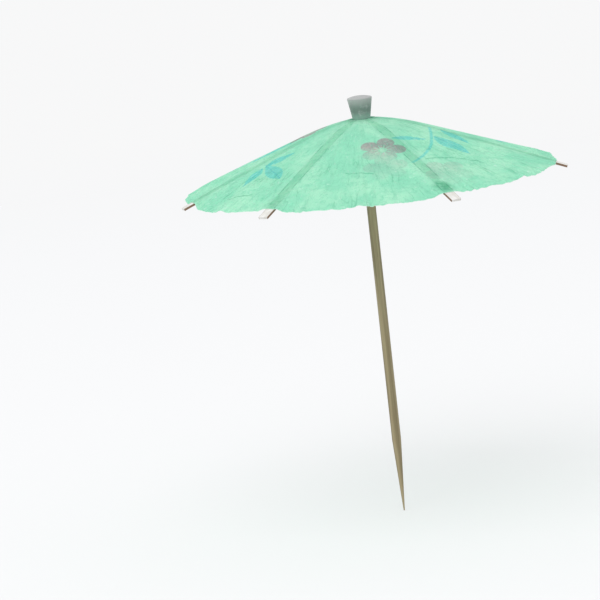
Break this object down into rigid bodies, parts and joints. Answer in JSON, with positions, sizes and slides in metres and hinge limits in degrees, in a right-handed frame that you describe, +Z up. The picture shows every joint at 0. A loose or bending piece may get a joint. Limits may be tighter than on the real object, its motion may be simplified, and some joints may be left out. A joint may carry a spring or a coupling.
{
  "type": "cocktail umbrella pick",
  "caption": "Open paper cocktail umbrella on a pointed wooden pick, with a printed canopy, card ribs and struts that fold down with a sliding runner, a retaining ring and a flared cap.",
  "frame": {"origin": "the point at the lower end of the pick", "axes": "+Z up along the pick to the cap; the picture looks along +Y"},
  "size_m": [0.0919, 0.0903, 0.102],
  "materials": {
    "pick_wood": "plain sanded bamboo",
    "collar_wood": "plain turned wood",
    "cap_plastic": "matt off-white",
    "ring_plastic": "matt white",
    "canopy_paper": "thin printed tissue paper",
    "rolled_paper": "rolled plain paper",
    "rib_card": "plain card",
    "thread": "cotton thread"
  },
  "bodies": {
    "pick": {"pick": "pick_wood", "top_cap": "cap_plastic", "canopy_crown": "canopy_paper", "top_hub": "collar_wood", "hub_thread": "thread", "spacer_sleeve": "rolled_paper"},
    "rib_1": {"rib_1": "rib_card", "strut_pin_1": "thread"},
    "strut_1": {"strut_1": "rib_card"},
    "canopy_left_1": {"canopy_left_1": "canopy_paper"},
    "canopy_right_1": {"canopy_right_1": "canopy_paper"},
    "rib_2": {"rib_2": "rib_card", "strut_pin_2": "thread"},
    "strut_2": {"strut_2": "rib_card"},
    "canopy_left_2": {"canopy_left_2": "canopy_paper"},
    "canopy_right_2": {"canopy_right_2": "canopy_paper"},
    "rib_3": {"rib_3": "rib_card", "strut_pin_3": "thread"},
    "strut_3": {"strut_3": "rib_card"},
    "canopy_left_3": {"canopy_left_3": "canopy_paper"},
    "canopy_right_3": {"canopy_right_3": "canopy_paper"},
    "rib_4": {"rib_4": "rib_card", "strut_pin_4": "thread"},
    "strut_4": {"strut_4": "rib_card"},
    "canopy_left_4": {"canopy_left_4": "canopy_paper"},
    "canopy_right_4": {"canopy_right_4": "canopy_paper"},
    "rib_5": {"rib_5": "rib_card", "strut_pin_5": "thread"},
    "strut_5": {"strut_5": "rib_card"},
    "canopy_left_5": {"canopy_left_5": "canopy_paper"},
    "canopy_right_5": {"canopy_right_5": "canopy_paper"},
    "rib_6": {"rib_6": "rib_card", "strut_pin_6": "thread"},
    "strut_6": {"strut_6": "rib_card"},
    "canopy_left_6": {"canopy_left_6": "canopy_paper"},
    "canopy_right_6": {"canopy_right_6": "canopy_paper"},
    "rib_7": {"rib_7": "rib_card", "strut_pin_7": "thread"},
    "strut_7": {"strut_7": "rib_card"},
    "canopy_left_7": {"canopy_left_7": "canopy_paper"},
    "canopy_right_7": {"canopy_right_7": "canopy_paper"},
    "rib_8": {"rib_8": "rib_card", "strut_pin_8": "thread"},
    "strut_8": {"strut_8": "rib_card"},
    "canopy_left_8": {"canopy_left_8": "canopy_paper"},
    "canopy_right_8": {"canopy_right_8": "canopy_paper"},
    "runner": {"runner": "collar_wood", "runner_thread": "thread"},
    "retainer_ring": {"retainer_ring": "ring_plastic"}
  },
  "joints": [
    {"name": "canopy_fold", "type": "hinge", "parent": "pick", "child": "rib_1", "pos_m": [0.00218, -0.00031, 0.09575], "axis": [0.1392, 0.9903, 0], "range_deg": [0, 60]},
    {"name": "strut_1_hinge", "type": "hinge", "parent": "rib_1", "child": "strut_1", "pos_m": [0.0164, -0.00231, 0.0914], "axis": [0.1392, 0.9903, 0], "range_deg": [-120, 0]},
    {"name": "crease_1_left", "type": "hinge", "parent": "rib_1", "child": "canopy_left_1", "pos_m": [0.01485, -0.00209, 0.09332], "axis": [0.9276, -0.1304, -0.3502], "range_deg": [-51.7, 0]},
    {"name": "crease_1_right", "type": "hinge", "parent": "canopy_left_1", "child": "canopy_right_1", "pos_m": [0.01485, -0.00209, 0.09332], "axis": [0.9276, -0.1304, -0.3502], "range_deg": [0, 110.29]},
    {"name": "rib_2_fold", "type": "hinge", "parent": "pick", "child": "rib_2", "pos_m": [0.00189, 0.00113, 0.09575], "axis": [-0.515, 0.8572, 0], "range_deg": [0, 60]},
    {"name": "strut_2_hinge", "type": "hinge", "parent": "rib_2", "child": "strut_2", "pos_m": [0.0142, 0.00853, 0.0914], "axis": [-0.515, 0.8572, 0], "range_deg": [-120, 0]},
    {"name": "crease_2_left", "type": "hinge", "parent": "rib_2", "child": "canopy_left_2", "pos_m": [0.01286, 0.00773, 0.09332], "axis": [0.8029, 0.4824, -0.3502], "range_deg": [-58.64, 0]},
    {"name": "crease_2_right", "type": "hinge", "parent": "canopy_left_2", "child": "canopy_right_2", "pos_m": [0.01286, 0.00773, 0.09332], "axis": [0.8029, 0.4824, -0.3502], "range_deg": [0, 116.5]},
    {"name": "rib_3_fold", "type": "hinge", "parent": "pick", "child": "rib_3", "pos_m": [0.00068, 0.00209, 0.09575], "axis": [-0.9511, 0.309, 0], "range_deg": [0, 60]},
    {"name": "strut_3_hinge", "type": "hinge", "parent": "rib_3", "child": "strut_3", "pos_m": [0.00512, 0.01575, 0.0914], "axis": [-0.9511, 0.309, 0], "range_deg": [-120, 0]},
    {"name": "crease_3_left", "type": "hinge", "parent": "rib_3", "child": "canopy_left_3", "pos_m": [0.00464, 0.01427, 0.09332], "axis": [0.2894, 0.8908, -0.3502], "range_deg": [-57.9, 0]},
    {"name": "crease_3_right", "type": "hinge", "parent": "canopy_left_3", "child": "canopy_right_3", "pos_m": [0.00464, 0.01427, 0.09332], "axis": [0.2894, 0.8908, -0.3502], "range_deg": [0, 116.12]},
    {"name": "rib_4_fold", "type": "hinge", "parent": "pick", "child": "rib_4", "pos_m": [-0.00082, 0.00204, 0.09575], "axis": [-0.9272, -0.3746, 0], "range_deg": [0, 60]},
    {"name": "strut_4_hinge", "type": "hinge", "parent": "rib_4", "child": "strut_4", "pos_m": [-0.0062, 0.01536, 0.0914], "axis": [-0.9272, -0.3746, 0], "range_deg": [-120, 0]},
    {"name": "crease_4_left", "type": "hinge", "parent": "rib_4", "child": "canopy_left_4", "pos_m": [-0.00562, 0.01391, 0.09332], "axis": [-0.3509, 0.8685, -0.3502], "range_deg": [-58.27, 0]},
    {"name": "crease_4_right", "type": "hinge", "parent": "canopy_left_4", "child": "canopy_right_4", "pos_m": [-0.00562, 0.01391, 0.09332], "axis": [-0.3509, 0.8685, -0.3502], "range_deg": [0, 117.61]},
    {"name": "rib_5_fold", "type": "hinge", "parent": "pick", "child": "rib_5", "pos_m": [-0.00189, 0.00113, 0.09575], "axis": [-0.515, -0.8572, 0], "range_deg": [0, 60]},
    {"name": "strut_5_hinge", "type": "hinge", "parent": "rib_5", "child": "strut_5", "pos_m": [-0.0142, 0.00853, 0.0914], "axis": [-0.515, -0.8572, 0], "range_deg": [-120, 0]},
    {"name": "crease_5_left", "type": "hinge", "parent": "rib_5", "child": "canopy_left_5", "pos_m": [-0.01286, 0.00773, 0.09332], "axis": [-0.8029, 0.4824, -0.3502], "range_deg": [-59.39, 0]},
    {"name": "crease_5_right", "type": "hinge", "parent": "canopy_left_5", "child": "canopy_right_5", "pos_m": [-0.01286, 0.00773, 0.09332], "axis": [-0.8029, 0.4824, -0.3502], "range_deg": [0, 114.3]},
    {"name": "rib_6_fold", "type": "hinge", "parent": "pick", "child": "rib_6", "pos_m": [-0.00209, -0.00068, 0.09575], "axis": [0.309, -0.9511, 0], "range_deg": [0, 60]},
    {"name": "strut_6_hinge", "type": "hinge", "parent": "rib_6", "child": "strut_6", "pos_m": [-0.01575, -0.00512, 0.0914], "axis": [0.309, -0.9511, 0], "range_deg": [-120, 0]},
    {"name": "crease_6_left", "type": "hinge", "parent": "rib_6", "child": "canopy_left_6", "pos_m": [-0.01427, -0.00464, 0.09332], "axis": [-0.8908, -0.2894, -0.3502], "range_deg": [-54.96, 0]},
    {"name": "crease_6_right", "type": "hinge", "parent": "canopy_left_6", "child": "canopy_right_6", "pos_m": [-0.01427, -0.00464, 0.09332], "axis": [-0.8908, -0.2894, -0.3502], "range_deg": [0, 112.81]},
    {"name": "rib_7_fold", "type": "hinge", "parent": "pick", "child": "rib_7", "pos_m": [-0.00113, -0.00189, 0.09575], "axis": [0.8572, -0.515, 0], "range_deg": [0, 60]},
    {"name": "strut_7_hinge", "type": "hinge", "parent": "rib_7", "child": "strut_7", "pos_m": [-0.00853, -0.0142, 0.0914], "axis": [0.8572, -0.515, 0], "range_deg": [-120, 0]},
    {"name": "crease_7_left", "type": "hinge", "parent": "rib_7", "child": "canopy_left_7", "pos_m": [-0.00773, -0.01286, 0.09332], "axis": [-0.4824, -0.8029, -0.3502], "range_deg": [-57.9, 0]},
    {"name": "crease_7_right", "type": "hinge", "parent": "canopy_left_7", "child": "canopy_right_7", "pos_m": [-0.00773, -0.01286, 0.09332], "axis": [-0.4824, -0.8029, -0.3502], "range_deg": [0, 110.63]},
    {"name": "rib_8_fold", "type": "hinge", "parent": "pick", "child": "rib_8", "pos_m": [0.00089, -0.00201, 0.09575], "axis": [0.9135, 0.4067, 0], "range_deg": [0, 60]},
    {"name": "strut_8_hinge", "type": "hinge", "parent": "rib_8", "child": "strut_8", "pos_m": [0.00674, -0.01513, 0.0914], "axis": [0.9135, 0.4067, 0], "range_deg": [-120, 0]},
    {"name": "crease_8_left", "type": "hinge", "parent": "rib_8", "child": "canopy_left_8", "pos_m": [0.0061, -0.0137, 0.09332], "axis": [0.381, -0.8557, -0.3502], "range_deg": [-52.78, 0]},
    {"name": "crease_8_right", "type": "hinge", "parent": "canopy_left_8", "child": "canopy_right_8", "pos_m": [0.0061, -0.0137, 0.09332], "axis": [0.381, -0.8557, -0.3502], "range_deg": [0, 104.43]},
    {"name": "runner_hinge", "type": "hinge", "parent": "strut_1", "child": "runner", "pos_m": [0.00218, -0.00031, 0.08705], "axis": [0.1392, 0.9903, 0], "range_deg": [0, 60]},
    {"name": "retainer_slide", "type": "slide", "parent": "runner", "child": "retainer_ring", "axis": [0, 0, -1], "range_m": [0, 0.025]}
  ],
  "couplings": [
    {"joint": "strut_1_hinge", "follows": "canopy_fold", "ratio": -2},
    {"joint": "crease_1_left", "follows": "canopy_fold", "ratio": -0.86081},
    {"joint": "crease_1_right", "follows": "canopy_fold", "ratio": 1.8374},
    {"joint": "rib_2_fold", "follows": "canopy_fold", "ratio": 1},
    {"joint": "strut_2_hinge", "follows": "canopy_fold", "ratio": -2},
    {"joint": "crease_2_left", "follows": "canopy_fold", "ratio": -0.97658},
    {"joint": "crease_2_right", "follows": "canopy_fold", "ratio": 1.9408},
    {"joint": "rib_3_fold", "follows": "canopy_fold", "ratio": 1},
    {"joint": "strut_3_hinge", "follows": "canopy_fold", "ratio": -2},
    {"joint": "crease_3_left", "follows": "canopy_fold", "ratio": -0.96419},
    {"joint": "crease_3_right", "follows": "canopy_fold", "ratio": 1.9346},
    {"joint": "rib_4_fold", "follows": "canopy_fold", "ratio": 1},
    {"joint": "strut_4_hinge", "follows": "canopy_fold", "ratio": -2},
    {"joint": "crease_4_left", "follows": "canopy_fold", "ratio": -0.97038},
    {"joint": "crease_4_right", "follows": "canopy_fold", "ratio": 1.9594},
    {"joint": "rib_5_fold", "follows": "canopy_fold", "ratio": 1},
    {"joint": "strut_5_hinge", "follows": "canopy_fold", "ratio": -2},
    {"joint": "crease_5_left", "follows": "canopy_fold", "ratio": -0.98901},
    {"joint": "crease_5_right", "follows": "canopy_fold", "ratio": 1.9041},
    {"joint": "rib_6_fold", "follows": "canopy_fold", "ratio": 1},
    {"joint": "strut_6_hinge", "follows": "canopy_fold", "ratio": -2},
    {"joint": "crease_6_left", "follows": "canopy_fold", "ratio": -0.91513},
    {"joint": "crease_6_right", "follows": "canopy_fold", "ratio": 1.8793},
    {"joint": "rib_7_fold", "follows": "canopy_fold", "ratio": 1},
    {"joint": "strut_7_hinge", "follows": "canopy_fold", "ratio": -2},
    {"joint": "crease_7_left", "follows": "canopy_fold", "ratio": -0.96419},
    {"joint": "crease_7_right", "follows": "canopy_fold", "ratio": 1.843},
    {"joint": "rib_8_fold", "follows": "canopy_fold", "ratio": 1},
    {"joint": "strut_8_hinge", "follows": "canopy_fold", "ratio": -2},
    {"joint": "crease_8_left", "follows": "canopy_fold", "ratio": -0.87881},
    {"joint": "crease_8_right", "follows": "canopy_fold", "ratio": 1.7396},
    {"joint": "runner_hinge", "follows": "canopy_fold", "ratio": 1}
  ]
}
